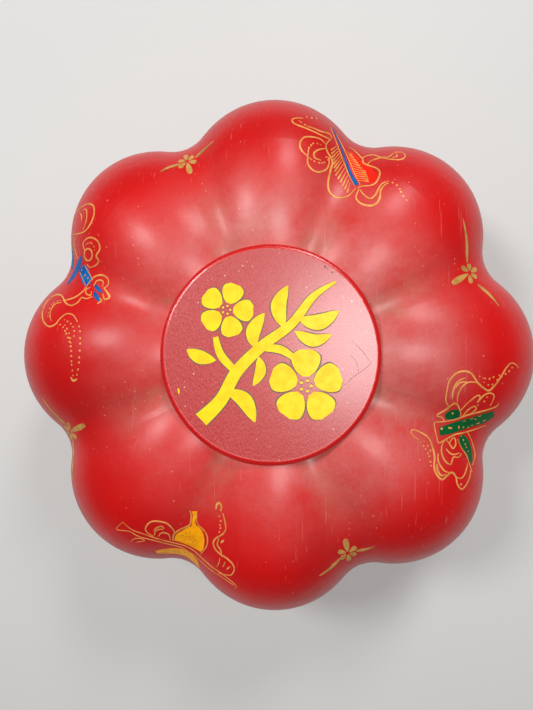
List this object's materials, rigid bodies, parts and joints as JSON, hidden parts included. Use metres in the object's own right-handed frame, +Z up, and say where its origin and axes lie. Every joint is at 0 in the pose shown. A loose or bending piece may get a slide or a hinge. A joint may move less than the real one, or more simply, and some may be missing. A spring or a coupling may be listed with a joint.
{
  "type": "covered bowl",
  "caption": "Round lobed lacquered bowl on a foot ring, with a matching lobed lid that lifts off and carries a raised flat medallion; holds sweets or small things.",
  "frame": {"origin": "centre of the circle that the foot ring stands on", "axes": "+Z up through the middle of the lid; the middle of a lobe lies on +X"},
  "size_m": [0.3324, 0.3324, 0.136],
  "materials": {
    "red_lacquer": "gloss red lacquer over a light wooden body, softly worn",
    "medallion_lacquer": "duller red lacquer with a fine wrinkled grain",
    "dark_lacquer": "brown-black lacquer, semi-gloss",
    "yellow_paint": "thick opaque yellow paint",
    "gold_paint": "fine gold-coloured paint lines",
    "leaf_paint": "bright red paint",
    "blue_paint": "blue paint",
    "green_paint": "dark green paint",
    "amber_paint": "amber paint"
  },
  "bodies": {
    "bowl": {"bowl_shell": "red_lacquer", "bowl_floor": "dark_lacquer", "bowl_rim": "red_lacquer", "bowl_lip": "dark_lacquer", "foot_ring": "red_lacquer"},
    "lid": {"lid_shell": "red_lacquer", "lid_medallion": "medallion_lacquer", "lid_rim": "red_lacquer"}
  },
  "joints": [
    {"name": "lid_lift", "type": "slide", "parent": "bowl", "child": "lid", "axis": [0, 0, 1], "range_m": [0, 0.1]}
  ]
}
